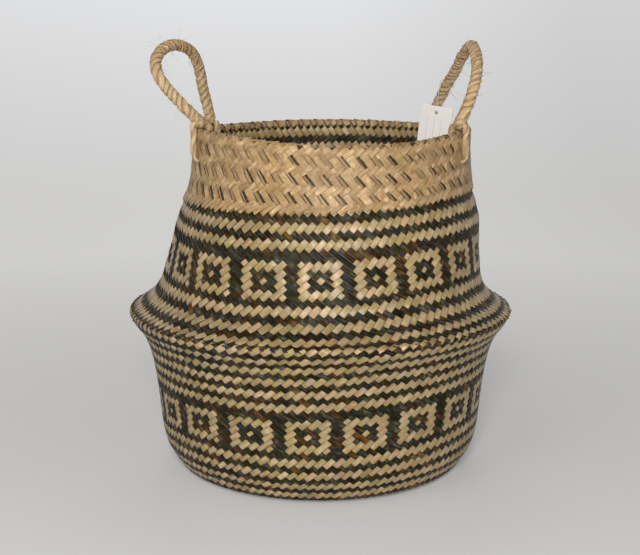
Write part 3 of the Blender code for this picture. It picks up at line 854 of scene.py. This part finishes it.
def fibre_runs(route, radius, dice, count):
    """Short bent fibres that leave a rope at random places."""
    runs = []
    parts = 7
    for strip in range(count):
        index = dice.randrange(4, len(route) - 4)
        along = (route[index + 3] - route[index - 3]).normalized()
        out_way = Vector([dice.uniform(-1.0, 1.0) for _ in range(3)])
        out_way = (out_way - along * out_way.dot(along)).normalized()
        way = (out_way * dice.uniform(0.5, 1.0) + along * dice.uniform(-1.2, 1.2)).normalized()
        bend = Vector([dice.uniform(-0.35, 0.35) for _ in range(3)])
        step = dice.uniform(0.006, 0.015) / parts
        points = [route[index] + out_way * radius * 0.85]
        for _ in range(parts):
            points.append(points[-1] + way * step)
            way = (way + bend * 0.25).normalized()
        runs.append(rope_run(points, strip, np.linspace(1.0, 0.4, len(points))))
    return runs


def start_material(name):
    """New material and its tree."""
    material = bpy.data.materials.new(name)
    material.use_nodes = True
    return material, material.node_tree


def painted(material, tint, roughness, relief=None, strength=0.0, distance=0.0):
    """Material with its colour, roughness and fine relief."""
    tree = material.node_tree
    shader = tree.nodes["Principled BSDF"].inputs
    tree.links.new(tint.socket, shader["Base Color"])
    if isinstance(roughness, Field):
        tree.links.new(roughness.socket, shader["Roughness"])
    else:
        shader["Roughness"].default_value = roughness
    if relief:
        values = {"Height": relief, "Strength": strength, "Distance": distance}
        tree.links.new(out(tree, "ShaderNodeBump", values).socket, shader["Normal"])
    return material


def kept(tree, name, output="Fac"):
    """Value that the piece keeps under a name."""
    return out(tree, "ShaderNodeAttribute", output=output, attribute_name=name)


def object_spot(tree):
    """Place in the object's own coordinates."""
    return out(tree, "ShaderNodeTexCoord", output="Object")


def ramp(value, stops):
    """Colour that changes with a value. Each stop has its place and its colour."""
    node = add_node(value.tree, "ShaderNodeValToRGB", {"Fac": value})
    band = node.color_ramp
    while len(band.elements) < len(stops):
        band.elements.new(1.0)
    for element, (spot, tint) in zip(band.elements, stops):
        element.position = spot
        element.color = (*tint, 1.0)
    return Field(node.outputs["Color"])


def mixed(share, first, second):
    """Two colours mixed."""
    pair = [tint if isinstance(tint, Field) else (*tint, 1.0) for tint in (first, second)]
    values = {0: share, 6: pair[0], 7: pair[1]}
    return out(share.tree, "ShaderNodeMix", values, 2, data_type="RGBA")


def strip_place(tree, across_scale, along_scale, strip_scale):
    """Place on a strip, stretched along it, with every strip in a place of its own."""
    across, along, strip = (kept(tree, name) for name in ("across", "along", "strip"))
    return vector_of(tree, across * across_scale, along * along_scale, strip * strip_scale)


def strip_material(
    name, tones, pale, deep, roughness, shine, lively, sheen,
    edges=0.45, sunk_shade=0.85, depth=-0.3, sunk_shade_colour=(34, 19, 5), tint=0.0,
):
    """Dried leaf strip: tone that drifts along it, fine fibres, painted shade at its edges and
    where it passes under, painted sheen.
    """
    material, tree = start_material(name)
    own_tone = kept(tree, "tone")
    drift = noise(strip_place(tree, 0.25, 55.0, 7.31), 1.0, 2.0, 0.6).rescaled(0.3, 0.7)
    jumps = (own_tone * 7.3).maths("FRACT")
    paint = ramp(drift * 0.6 + jumps * 0.4, tones)
    fibres = noise(strip_place(tree, 7.0, 90.0, 3.77), 1.0, 3.0, 0.65)
    paint = mixed(fibres.rescaled(0.52, 0.78) * 0.6, paint, pale)
    paint = mixed(fibres.rescaled(0.46, 0.24) * 0.5, paint, deep)
    # Painted sheen: pale patches along the strip stand in for highlights
    painted_sheen = noise(strip_place(tree, 0.7, 150.0, 5.1), 1.0).rescaled(0.54, 0.72)
    paint = mixed(painted_sheen * sheen, paint, pale)
    # Painted shade: the strip darkens towards both edges
    paint = mixed(abs(kept(tree, "across")).rescaled(0.55, 0.9) * edges, paint, deep)
    level = own_tone.rescaled(0.0, 1.0, 1.0 - lively, 1.0 + lively)
    toned = out(tree, "ShaderNodeHueSaturation", {"Color": paint, "Value": level})
    # Painted shade: a face of the strip that lies under the crossing strips is mixed toward a
    # dark colour
    sunk = kept(tree, "level") * -1.0 * kept(tree, "side")
    paint = mixed(sunk.rescaled(depth, 0.7) * sunk_shade, toned, screen(*sunk_shade_colour))
    # Painted shade on every second strip, the lower one
    if tint:
        odd = kept(tree, "strip").maths("MODULO", 2.0).maths("GREATER_THAN", 0.5)
        paint = mixed(odd * tint, paint, screen(112, 92, 70))
    tree.nodes["Principled BSDF"].inputs["Specular IOR Level"].default_value = shine
    rough = fibres.rescaled(0.3, 0.7, roughness - 0.08, roughness + 0.1)
    return painted(material, paint, rough, fibres, 0.35, 0.0004)


def natural_material():
    """Natural strips, from straw to pink and olive."""
    weave = settings("weave")
    tones = (
        (0.0, weave.olive),
        (0.3, weave.straw),
        (0.5, screen(156, 137, 90)),
        (0.65, weave.pale),
        (0.8, screen(170, 138, 96)),
        (1.0, screen(140, 108, 66)),
    )
    # pale goes into the light fibres and the painted sheen, deep into the dark fibres and the
    # painted edge shade
    pale, deep = screen(218, 198, 162), screen(92, 70, 38)
    return strip_material("natural_strip", tones, pale, deep, 0.38, 0.45, 0.15, 0.45)


def dark_material():
    """Dyed strips, from green black to slate, with rust where the dye is thin."""
    weave = settings("weave")
    tones = (
        (0.0, screen(104, 62, 28)),
        (0.12, screen(66, 40, 18)),
        (0.24, weave.dark),
        (0.34, screen(28, 30, 13)),
        (0.44, screen(38, 40, 20)),
        (0.54, weave.slate),
        (0.62, screen(32, 21, 8)),
        (0.76, screen(58, 35, 14)),
        (0.88, screen(90, 66, 26)),
        (1.0, weave.rust),
    )
    # pale goes into the light fibre streaks and the painted sheen, deep into the dark fibres and
    # the painted edge shade
    pale, deep = screen(124, 114, 92), screen(14, 8, 2)
    return strip_material("dyed_strip", tones, pale, deep, 0.4, 0.06, 0.45, 0.45)


def cuff_material(name, edges, tint):
    """Undyed strips of the cuff, a little pinker and more even, every second one darkened with
    painted shade where it lies lower.
    """
    tones = (
        (0.0, screen(138, 112, 64)),
        (0.3, screen(158, 130, 84)),
        (0.5, screen(180, 150, 112)),
        (0.7, screen(152, 118, 76)),
        (1.0, screen(172, 147, 92)),
    )
    # pale goes into the light fibres and the painted sheen, deep into the dark fibres and the
    # painted edge shade
    pale, deep = screen(232, 210, 170), screen(104, 74, 38)
    # Painted shade: darker edges, a dark colour where the strips pass under, and a darker tint on
    # every second float
    painted_shade = {"edges": edges, "sunk_shade": 0.95, "depth": 0.0, "sunk_shade_colour": (44, 24, 6), "tint": tint}
    return strip_material(name, tones, pale, deep, 0.42, 0.25, 0.17, 0.5, **painted_shade)


def rope_material():
    """Wound fibre rope: fibres along each yarn, painted shade in the grooves, painted highlight
    on the crests.
    """
    rope = settings("rope")
    material, tree = start_material("rope_fibre")
    x, y, _ = kept(tree, "around", "Vector").parts()
    along = kept(tree, "along") * 130.0 + kept(tree, "strip")
    spot = vector_of(tree, x * 9.0, y * 9.0, along)
    fibres = noise(spot, 1.0, 4.0, 0.65)
    patch = noise(spot.vector("SCALE", {"Scale": 0.22}), 1.0).rescaled(0.3, 0.7)
    tones = (
        (0.0, screen(148, 114, 72)),
        (0.25, screen(180, 138, 94)),
        (0.55, rope.colour),
        (1.0, screen(210, 184, 146)),
    )
    crest = kept(tree, "crest")
    paint = ramp(patch, tones)
    # Painted highlight on the crest of each yarn
    paint = mixed(crest.rescaled(0.6, 1.0) * 0.35, paint, rope.pale)
    paint = mixed(fibres.rescaled(0.5, 0.72) * 0.8, paint, screen(240, 224, 190))
    paint = mixed(fibres.rescaled(0.46, 0.28) * 0.65, paint, screen(136, 104, 64))
    # Painted shade in the grooves between the yarns
    paint = mixed(crest.rescaled(0.5, 0.05) * 0.5, paint, screen(112, 80, 46))
    return painted(material, paint, 0.62, fibres, 0.7, 0.0006)


def card_material():
    """Pale card with a few ruled lines and a faint paper grain."""
    tag = settings("tag")
    material, tree = start_material("tag_card")
    spot = object_spot(tree)
    from_hole = spot.vector("ADD", {1: tuple(-TAG_HOLE)})
    across, up = (
        from_hole.vector("DOT_PRODUCT", {1: tuple(way)}, "Value") for way in (TAG_ACROSS, TAG_UP)
    )
    line = abs((across * 520.0).maths("SINE")).maths("LESS_THAN", 0.09)
    inside = abs(across).maths("LESS_THAN", 0.0095)
    ruled = line * inside * up.maths("LESS_THAN", -0.004) * up.maths("GREATER_THAN", -0.031)
    grain = noise(spot, 900.0, 3.0)
    paper = mixed(grain.rescaled(0.35, 0.65, 0.0, 0.25), tag.card, screen(206, 200, 198))
    return painted(material, mixed(ruled * 0.55, paper, tag.ruling), 0.5, grain, 0.1, 0.0002)


def speckled_material(name, scale, detail, low, first, second, roughness):
    """Plain stuff whose colour changes softly from place to place."""
    material, tree = start_material(name)
    tone = noise(object_spot(tree), scale, detail).rescaled(low, 1.0 - low)
    return painted(material, mixed(tone, screen(*first), screen(*second)), roughness)


def ring_points(x, y, radius, start, step, count):
    """Points on a circle, from a start in even steps, both in degrees."""
    turns = [math.radians(start + step * i) for i in range(count)]
    return [(x + radius * math.cos(turn), y + radius * math.sin(turn)) for turn in turns]


def add_line(curve, points, closed=False):
    """Spline of straight parts through the points."""
    line = curve.splines.new("POLY")
    line.points.add(len(points) - 1)
    line.use_cyclic_u = closed
    for point, spot in zip(line.points, points):
        point.co = (*spot, 1.0)


def floor_mesh():
    """Round floor whose edge curves up into a wall, seen from inside."""
    mesh = bpy.data.meshes.new("floor")
    shape = bmesh.new()
    cove = ring_points(FLOOR_RADIUS, COVE_RADIUS, COVE_RADIUS, -78.75, 11.25, 8)
    line = [(0.0, 0.0), (FLOOR_RADIUS, 0.0), *cove, (FLOOR_RADIUS + COVE_RADIUS, WALL_TOP)]
    points = [shape.verts.new((x, 0.0, z - FLOOR_DROP)) for x, z in line]
    edges = [shape.edges.new(pair) for pair in zip(points, points[1:])]
    bmesh.ops.spin(
        shape,
        geom=points + edges,
        cent=(0.0, 0.0, 0.0),
        axis=(0.0, 0.0, 1.0),
        angle=2.0 * math.pi,
        steps=72,
        use_merge=True,
    )
    bmesh.ops.remove_doubles(shape, verts=shape.verts, dist=0.00001)
    bmesh.ops.recalc_face_normals(shape, faces=shape.faces)
    bmesh.ops.reverse_faces(shape, faces=shape.faces)
    shape.to_mesh(mesh)
    shape.free()
    mesh.shade_smooth()
    return mesh


def floor_material():
    """Paper that takes the shadows, and that the camera sees with a soft glow of its own."""
    material, tree = start_material("studio_paper")
    spot = object_spot(tree)
    x, y, z = spot.parts()
    tone = noise(spot, 2.0).rescaled(0.3, 0.7, 0.0, 0.3)
    painted(material, mixed(tone, settings("stage").floor, screen(232, 232, 232)), 0.9)
    away = (x * x + y * y).maths("SQRT")
    rays = add_node(tree, "ShaderNodeLightPath").outputs
    seen = Field(rays["Is Camera Ray"])
    for other in ("Is Glossy Ray", "Is Transmission Ray"):
        seen = seen.maths("MAXIMUM", Field(rays[other]))
    # Painted light and shade in the glow: brighter up the wall, dimmer to the right and to the
    # far left
    glow = mixed(z.rescaled(0.0, 0.42), screen(208, 207, 206), screen(228, 229, 231))
    side = x.rescaled(0.05, 0.6, 0.0, 0.42) + x.rescaled(-0.3, -1.0, 0.0, 0.15)
    glow = out(tree, "ShaderNodeEmission", {"Color": mixed(side, glow, screen(182, 181, 180))})
    paper = Field(tree.nodes["Principled BSDF"].outputs[0])
    share = seen * away.rescaled(0.2, 1.0, 0.3, 1.0)
    both = out(tree, "ShaderNodeMixShader", {0: share, 1: paper, 2: glow})
    tree.links.new(both.socket, tree.nodes["Material Output"].inputs["Surface"])
    return material


def finish_piece(piece, body, slot, *nodes):
    """Hide the named parts of the model, and attach a finished piece to its body."""
    if nodes:
        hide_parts(*nodes)
    if body:
        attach(piece, body)
    return piece


class BASKET_OT_stage(bpy.types.Operator):
    """Make the floor, the lamps and the camera"""

    bl_idname = "basket.stage"
    bl_label = "Stage"

    def execute(self, context):
        stage = settings("stage")
        floor = add_piece("floor", floor_mesh(), floor_material())

        world = bpy.data.worlds.new("studio")
        world.use_nodes = True
        context.scene.world = world
        sky = world.node_tree.nodes["Background"]
        sky.inputs["Color"].default_value = (1.0, 0.975, 0.94, 1.0)
        sky.inputs["Strength"].default_value = stage.sky

        for name, spot, size, share in (
            ("key_lamp", (-0.05, -1.30, 0.62), 0.2, 1.0),
            ("fill_lamp", (-0.6, -1.2, 1.5), 0.8, 0.26),
            ("back_lamp", (0.0, 1.35, 1.0), 1.0, 0.35),
        ):
            lamp = bpy.data.lights.new(name, "AREA")
            lamp.energy = stage.key_power * share
            lamp.size = size
            lamp.color = (1.0, 0.974, 0.935)
            holder = bpy.data.objects.new(name, lamp)
            context.collection.objects.link(holder)
            holder.location = spot
            aim = Vector(LAMP_AIM) - Vector(spot)
            holder.rotation_euler = aim.to_track_quat("-Z", "Y").to_euler()

        lens = bpy.data.cameras.new("camera")
        lens.sensor_width = 36.0
        lens.lens = CAMERA_LENS
        lens.clip_start = 0.05
        camera = bpy.data.objects.new("camera", lens)
        context.collection.objects.link(camera)
        camera.location = CAMERA_PLACE
        camera.rotation_euler = (math.radians(90.0 - CAMERA_TILT), 0.0, 0.0)
        context.scene.camera = camera
        context.scene.view_settings.view_transform = "Standard"
        return {"FINISHED"}


class BASKET_OT_body_weave(bpy.types.Operator):
    """Weave the body from the base edge to the rim"""

    bl_idname = "basket.body_weave"
    bl_label = "Body Weave"

    def execute(self, context):
        weave = settings("weave")
        tree = strip_tree()
        half = weave.strips // 2
        natural, dark = natural_material(), dark_material()
        spreads = (strip_spread(1), strip_spread(2))
        for name, way_round, first, last, material, node in (
            ("natural_weave_first", -1, 0, half, natural, "bowl_wall"),
            ("natural_weave_second", -1, half, weave.strips, natural, "shoulder"),
            ("dark_weave_first", 1, 0, half, dark, "neck_wall"),
            ("dark_weave_second", 1, half, weave.strips, dark, "belly_fold"),
        ):
            own, others = spreads[::-way_round]
            runs = [body_strip(n, way_round, own, others) for n in range(first, last)]
            piece = strip_piece(name, runs, tree, material)
            finish_piece(piece, None, node, node)
            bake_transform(piece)
        return {"FINISHED"}


class BASKET_OT_cuff(bpy.types.Operator):
    """Weave the cuff that is turned down over the rim"""

    bl_idname = "basket.cuff"
    bl_label = "Cuff"

    def execute(self, context):
        tree = strip_tree()
        spreads = (strip_spread(3, 0.0, 1.3), strip_spread(4, 0.15, 1.3))
        # Last two values: share of painted shade at the strip edges, and of painted shade on
        # every second float
        for name, way_round, edges, tint in (
            ("cuff_squares", -1, 0.12, 0.0),
            ("cuff_floats", 1, 0.2, 0.35),
        ):
            own, others = spreads[::-way_round]
            strips = range(settings("weave").strips)
            runs = [cuff_strip(n, way_round, own, others) for n in strips]
            piece = strip_piece(name, runs, tree, cuff_material(name, edges, tint))
            finish_piece(piece, "neck", "rim_cuff", "rim_cuff")
        return {"FINISHED"}


class BASKET_OT_base(bpy.types.Operator):
    """Weave the flat base"""

    bl_idname = "basket.base"
    bl_label = "Base"

    def execute(self, context):
        dice = random.Random(9)
        strips = range(1 - BASE_STRIPS, BASE_STRIPS)
        runs = [base_strip(n, turned, dice) for n in strips for turned in (False, True)]
        material = bpy.data.materials["natural_strip"]
        piece = strip_piece("base_mat", runs, strip_tree(), material)
        finish_piece(piece, "bowl", "woven_base", "woven_base")
        return {"FINISHED"}


class BASKET_OT_handles(bpy.types.Operator):
    """Wind the two rope handles"""

    bl_idname = "basket.handles"
    bl_label = "Handles"

    def execute(self, context):
        rope = settings("rope")
        tree = rope_tree()
        material = rope_material()
        fibre = speckled_material(
            "stray_fibre", 160.0, 2.0, 0.35, (150, 142, 128), (196, 184, 160), 0.6
        )
        for index, (side, route) in enumerate((("left", LEFT_ROUTE), ("right", RIGHT_ROUTE))):
            body, node = side + "_handle", side + "_handle_rope"
            stops = smooth_route(route, 0.0006)
            points, shares = round_ended(stops, rope.radius)
            runs = [rope_run(points, 13.0 * index, shares)]
            winding = (rope.radius, rope.yarns, rope.pitch, 0.15, 0.0018)
            finish_piece(rope_piece(body, runs, tree, material, *winding), body, node, node)

            dice = random.Random(31 + index)
            runs = []
            for end, leg in ((stops[0], stops[17]), (stops[-1], stops[-18])):
                axis = (leg - end).normalized()
                across = axis.cross(Vector((0.0, 1.0, 0.0))).normalized()
                start = end + axis * 0.0004
                coil = coil_points(start, axis, across, 0.0040, 0.0065, 2.3, dice)
                runs.append(rope_run(coil, 7.0 + len(runs)))
            winding = (rope.lashing_radius * 0.85, 2, 0.012, 0.2, 0.0008)
            coils = rope_piece(body + "_coils", runs, tree, material, *winding)
            finish_piece(coils, body, node)
            runs = fibre_runs(stops, rope.radius, dice, rope.strays)
            fibres = rope_piece(body + "_fibres", runs, tree, fibre, 0.00011)
            finish_piece(fibres, body, node)
        return {"FINISHED"}


class BASKET_OT_strands(bpy.types.Operator):
    """Hook the strands through the wall and tie the lashings over the rim"""

    bl_idname = "basket.strands"
    bl_label = "Strands and Lashings"

    def execute(self, context):
        rope = settings("rope")
        tree = rope_tree()
        material = bpy.data.materials["rope_fibre"]
        for index, (foot, (angle, other)) in enumerate(FEET.items()):
            turn = math.radians(angle)
            legs = LEFT_ROUTE if foot.startswith("left") else RIGHT_ROUTE
            ball = Vector(legs[0] if foot.endswith("front") else legs[-1])
            outward = Vector((math.cos(turn), math.sin(turn), 0.0))
            beside = [ball + outward * far + Vector((0.0, 0.0, up)) for far, up in STRAND_TOPS]
            hook = [place(r, turn, h) for r, h in HOOK_ROUTE]
            route = smooth_route([*beside[:2], *hook, beside[2]], 0.0006)
            low = min(point.z for point in route)
            shares = [1.0 - 0.3 * math.exp(-(((point.z - low) / 0.006) ** 2)) for point in route]
            winding = (rope.strand_radius, 2, 0.030, 0.2, 0.0013)
            runs = [rope_run(route, 5.0 * index, shares)]
            piece = rope_piece(foot + "_hook", runs, tree, material, *winding)
            finish_piece(piece, "neck", foot + "_strand", foot + "_strand")

            side = LASHING_TURN if other > angle else -LASHING_TURN
            over = ring_points(FOLD_MIDDLE, CROWN_HEIGHT, LASHING_SWEEP, 0.0, 30.0, 7)
            ends = [(FOLD_MIDDLE + LASHING_SWEEP, LASHING_ENDS[0])]
            ends.append((FOLD_MIDDLE - LASHING_SWEEP, LASHING_ENDS[1]))
            turn = math.radians(angle + side)
            stops = [place(r, turn, h) for r, h in (ends[0], *over, ends[1])]
            runs = [rope_run(smooth_route(stops, 0.0005), 3.0 * index)]
            winding = (rope.lashing_radius, 3, 0.012, 0.3, 0.0008)
            piece = rope_piece(foot + "_tie", runs, tree, material, *winding)
            finish_piece(piece, "neck", foot + "_lashing", foot + "_lashing")
        return {"FINISHED"}


def card_mesh():
    """Card with round corners and a punched hole, hanging at its place."""
    tag = settings("tag")
    curve = bpy.data.curves.new("card", "CURVE")
    curve.dimensions = "2D"
    curve.fill_mode = "BOTH"
    curve.extrude = tag.thickness / 2.0
    low, high = CARD_CORNERS
    edge = []
    for index, (x, y) in enumerate((low, (high[0], low[1]), high, (low[0], high[1]))):
        x, y = x - math.copysign(tag.corner, x), y - math.copysign(tag.corner, y)
        edge += ring_points(x, y, tag.corner, 180.0 + 90.0 * index, 22.5, 5)
    hole = ring_points(CARD_HOLE_ACROSS, 0.0, tag.hole, 0.0, 11.25, 32)
    for ring in (edge, hole):
        add_line(curve, [(x, y, 0.0) for x, y in ring], closed=True)
    mesh = plain_mesh(bpy.data.objects.new("card_line", curve))
    where = Matrix((TAG_ACROSS, TAG_UP, TAG_FRONT)).transposed().to_4x4()
    where.translation = TAG_HOLE
    mesh.transform(where)
    return mesh


def thread_mesh(route, radius):
    """Thin round thread along a route."""
    curve = bpy.data.curves.new("thread", "CURVE")
    curve.dimensions = "3D"
    curve.bevel_depth = radius
    curve.bevel_resolution = 2
    curve.use_fill_caps = True
    add_line(curve, route)
    mesh = plain_mesh(bpy.data.objects.new("thread_line", curve))
    mesh.shade_smooth()
    return mesh


def knot_points(centre):
    """Closed round of a simple overhand knot, in the plane of the card."""
    points = []
    for i in range(61):
        t = 2.0 * math.pi * (i % 60) / 60
        points.append(
            centre
            + TAG_ACROSS * (math.sin(t) + 2.0 * math.sin(2.0 * t)) * 0.0003
            + TAG_UP * (math.cos(t) - 2.0 * math.cos(2.0 * t)) * 0.0003
            - TAG_FRONT * math.sin(3.0 * t) * 0.0004
        )
    return points


class BASKET_OT_tag(bpy.types.Operator):
    """Dress the tag, and hang it on its thread"""

    bl_idname = "basket.tag"
    bl_label = "Tag and Thread"

    def execute(self, context):
        card = add_piece("tag_sheet", card_mesh(), card_material())
        finish_piece(card, "tag", "hang_tag", "hang_tag")

        # Clear nylon, whose ends go through the hole where it is in scene.py's wider card
        material = speckled_material(
            "nylon_thread", 600.0, 1.0, 0.3, (222, 222, 218), (196, 198, 196), 0.18
        )
        radius = settings("tag").thread_radius
        aside = TAG_ACROSS * CARD_HOLE_ACROSS
        stops = [Vector(stop) for stop in STRING_ROUTE]
        stops = [stop + aside if stop.z < THREAD_END_TOP else stop for stop in stops]
        route = smooth_route(stops, 0.0009)
        thread = add_piece("tag_thread", thread_mesh(route, radius), material)
        finish_piece(thread, None, "tag_string", "tag_string")
        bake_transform(thread)

        centre = TAG_HOLE + aside + TAG_FRONT * 0.0022 + TAG_UP * 0.0016
        runs = [rope_run(knot_points(centre), 1.0)]
        knot = rope_piece("thread_knot", runs, rope_tree(), material, radius, 3, 0.1)
        finish_piece(knot, "tag", "tag_string_knot", "tag_string_knot")
        sum((b - a).length for a, b in zip(route, route[1:]))
        return {"FINISHED"}


class BASKET_PT_panel(bpy.types.Panel):
    """Sidebar panel that lists every group of settings with its steps"""

    bl_label = "Woven Belly Basket"
    bl_idname = "BASKET_PT_panel"
    bl_space_type = "VIEW_3D"
    bl_region_type = "UI"
    bl_category = "Basket"

    def draw(self, context):
        for name, _, steps in GROUPS:
            box = self.layout.box()
            box.label(text=name.capitalize())
            group = settings(name)
            for prop in group.bl_rna.properties:
                if prop.identifier not in ("rna_type", "name"):
                    box.prop(group, prop.identifier)
            for step in steps:
                box.operator(step.bl_idname)


GROUPS = (
    ("weave", WeaveSettings, (BASKET_OT_body_weave, BASKET_OT_cuff, BASKET_OT_base)),
    ("rope", RopeSettings, (BASKET_OT_handles, BASKET_OT_strands)),
    ("tag", TagSettings, (BASKET_OT_tag,)),
    ("stage", StageSettings, (BASKET_OT_stage,)),
)
CLASSES = [cls for _, group, steps in GROUPS for cls in (group, *steps)] + [BASKET_PT_panel]


def register():
    """Add the settings, the operators and the panel."""
    for cls in CLASSES:
        bpy.utils.register_class(cls)
    for name, group, _ in GROUPS:
        setattr(bpy.types.Scene, "basket_" + name, PointerProperty(type=group))


def unregister():
    """Take them away again."""
    for name, _, _ in GROUPS:
        delattr(bpy.types.Scene, "basket_" + name)
    for cls in reversed(CLASSES):
        bpy.utils.unregister_class(cls)


def main():
    """Make the whole scene."""
    register()
    bpy.ops.basket.stage()
    bpy.ops.basket.body_weave()
    bpy.ops.basket.cuff()
    bpy.ops.basket.base()
    bpy.ops.basket.handles()
    bpy.ops.basket.strands()
    bpy.ops.basket.tag()


if __name__ == "__main__":
    main()
